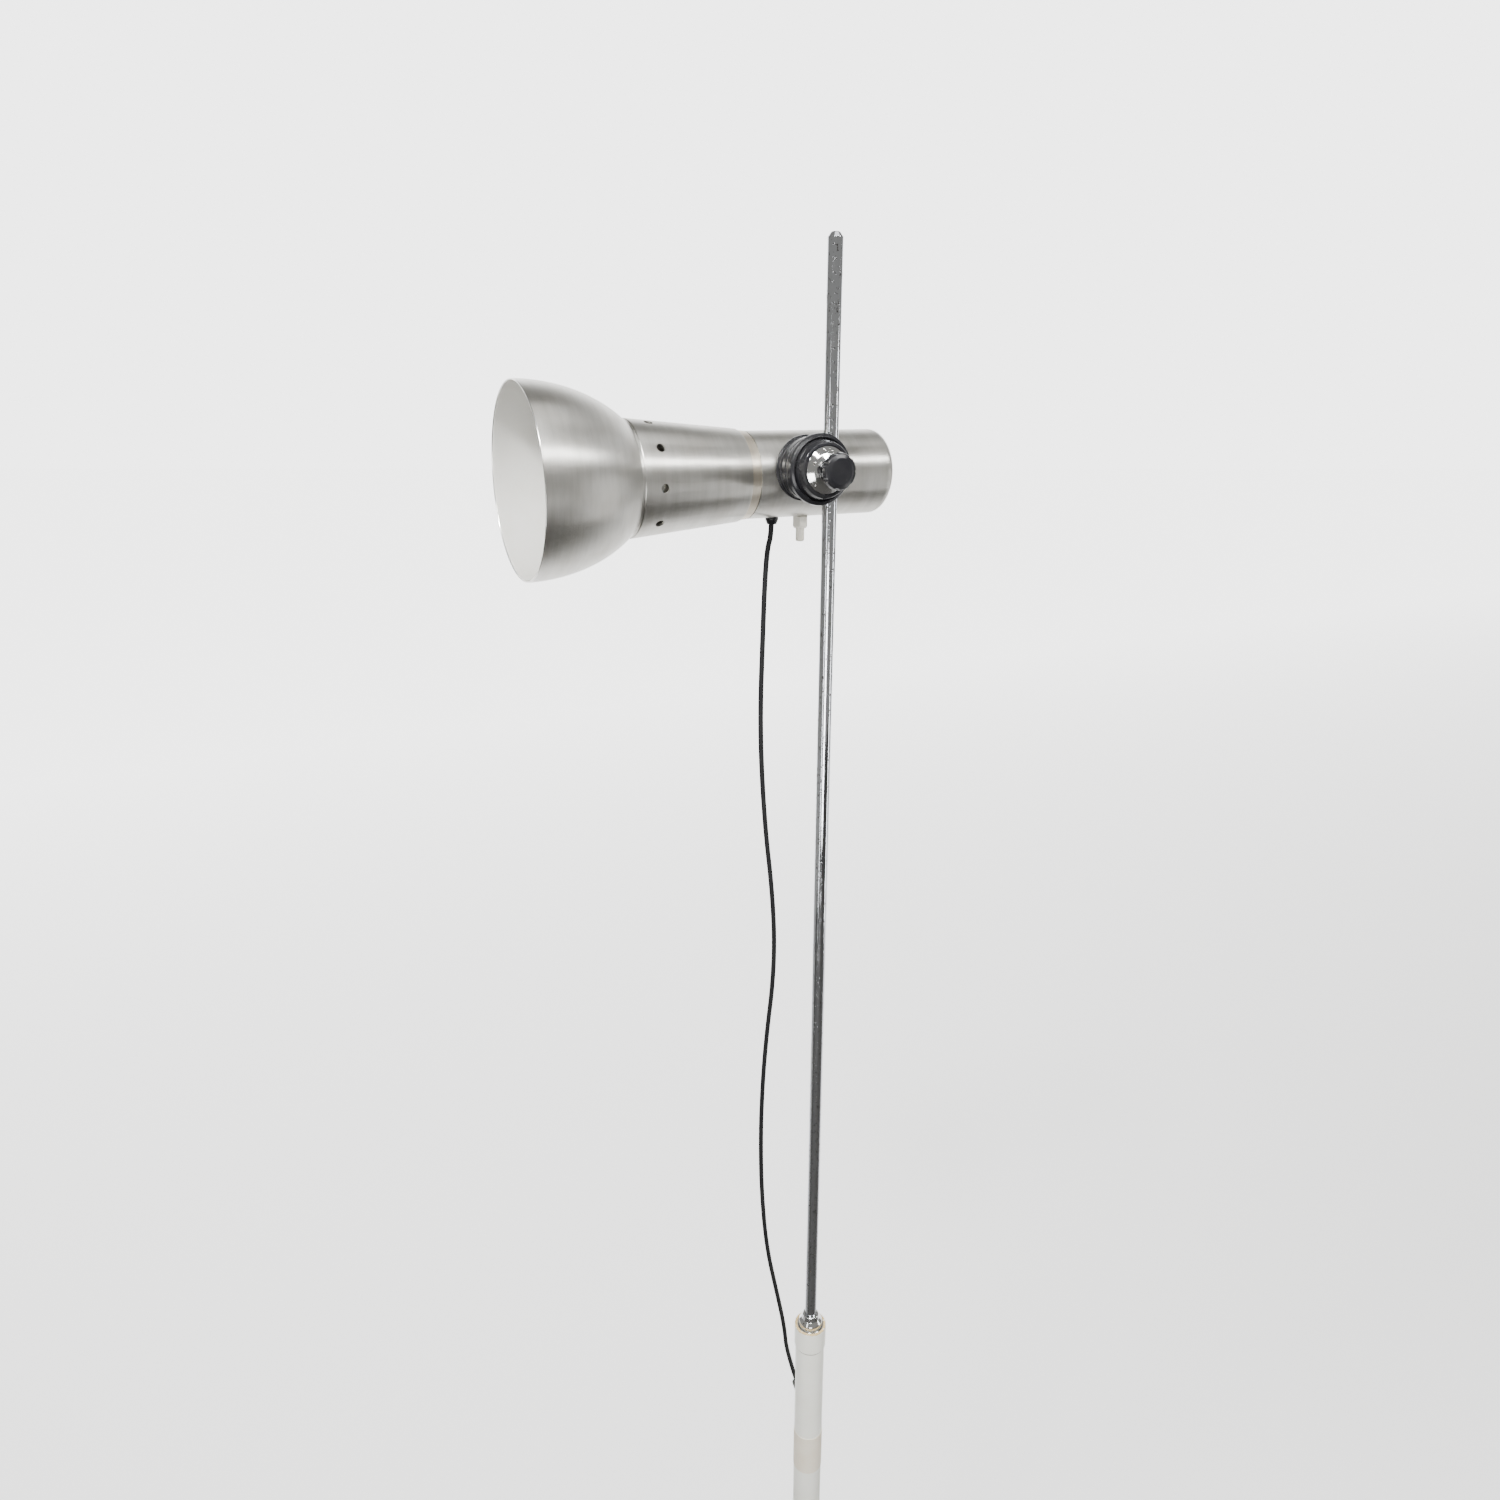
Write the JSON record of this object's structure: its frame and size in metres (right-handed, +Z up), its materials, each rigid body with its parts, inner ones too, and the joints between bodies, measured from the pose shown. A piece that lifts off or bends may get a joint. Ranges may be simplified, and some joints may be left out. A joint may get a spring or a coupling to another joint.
{
  "type": "tension pole lamp",
  "caption": "Spot lamp head of spun aluminium clamped to a sprung floor-to-ceiling pole by a swivelling knob clamp, with a bell reflector, push switch and hanging cord.",
  "frame": {"origin": "centre of the floor pad's underside, where the pole stands on the floor", "axes": "+Z up along the pole, the head points along -X, the clamp knob looks along -Y"},
  "size_m": [0.3118, 0.1658, 2.455],
  "materials": {
    "black_rubber": "matt black rubber",
    "bright_chrome": "aged polished chrome",
    "white_paint": "off-white satin paint, chipped at the rim",
    "cream_sleeve": "cream, slightly yellowed",
    "spun_aluminium": "satin spun aluminium, lacquered",
    "champagne_band": "champagne tinted",
    "black_plastic": "glossy black",
    "white_plastic": "cream white",
    "nylon": "natural nylon",
    "steel": "zinc plated",
    "brass": "plain",
    "bulb_glass": "clear",
    "cord_black": "matt black sheath",
    "fibre": "vulcanised fibre"
  },
  "bodies": {
    "foot": {"floor_pad": "black_rubber", "foot_plunger": "steel"},
    "pole": {"lower_guide": "nylon", "tension_spring": "steel", "spring_stop": "steel", "stop_rivet": "steel", "pole_tube": "white_paint", "pole_collar": "white_paint", "rod_bushing": "bright_chrome", "pole_sleeve": "cream_sleeve", "rod_stop_ring": "steel", "tube_grommet": "black_rubber", "cord_lower": "cord_black"},
    "rod": {"chrome_rod": "bright_chrome", "rod_cap": "bright_chrome", "rod_guide": "nylon"},
    "carrier": {"rod_liner": "nylon", "cord_middle": "cord_black"},
    "clamp": {"clamp_back_half": "black_plastic", "clamp_front_half": "black_plastic", "trim_ring": "black_plastic", "pressure_ring": "black_plastic", "dome_washer": "bright_chrome", "cord_upper": "cord_black"},
    "knob": {"knob_grip": "black_plastic", "knob_insert": "brass"},
    "button": {"switch_button": "white_plastic"},
    "head": {"swivel_disc": "black_plastic", "friction_washer": "fibre", "clamp_stud": "steel", "stud_washer": "steel", "stud_nut": "steel", "housing": "spun_aluminium", "band_ring": "champagne_band", "cone": "spun_aluminium", "bell": "spun_aluminium", "holder_shell": "white_plastic", "holder_contact": "brass", "holder_nipple": "brass", "holder_bracket": "steel", "nipple_nut": "steel", "bulb_cap": "steel", "bulb_glass": "bulb_glass", "switch_nut": "white_plastic", "switch_body": "white_plastic", "head_gland": "black_plastic", "cord_grip": "nylon", "terminal_block": "nylon", "terminal_screws": "brass", "block_post": "steel", "holder_leads": "cord_black", "cord_lead": "cord_black"}
  },
  "joints": [
    {"name": "foot_spring", "type": "slide", "parent": "foot", "child": "pole", "axis": [0, 0, 1], "range_m": [-0.03, 0], "stiffness_N_per_m": 2000, "springref_m": 0.03, "deforming": ["tension_spring"]},
    {"name": "rod_slide", "type": "slide", "parent": "pole", "child": "rod", "axis": [0, 0, 1], "range_m": [-0.15, 0.015], "deforming": ["cord_lower"]},
    {"name": "clamp_slide", "type": "slide", "parent": "rod", "child": "carrier", "axis": [0, 0, 1], "range_m": [-0.6, 0.02], "deforming": ["cord_middle"]},
    {"name": "clamp_turn", "type": "hinge", "parent": "carrier", "child": "clamp", "pos_m": [0, 0, 2.2858], "axis": [0, 0, 1], "range_deg": [-120, 120], "deforming": ["cord_upper"]},
    {"name": "head_tilt", "type": "hinge", "parent": "clamp", "child": "head", "pos_m": [-0.0144, 0, 2.2858], "axis": [0, 1, 0], "range_deg": [-70, 70], "deforming": ["cord_lead"]},
    {"name": "knob_turn", "type": "hinge", "parent": "clamp", "child": "knob", "pos_m": [-0.0144, -0.03, 2.2858], "axis": [0, -1, 0], "range_deg": [-180, 0]},
    {"name": "button_press", "type": "slide", "parent": "head", "child": "button", "axis": [0, 0, 1], "range_m": [0, 0.004], "stiffness_N_per_m": 500, "springref_m": -0.002}
  ]
}
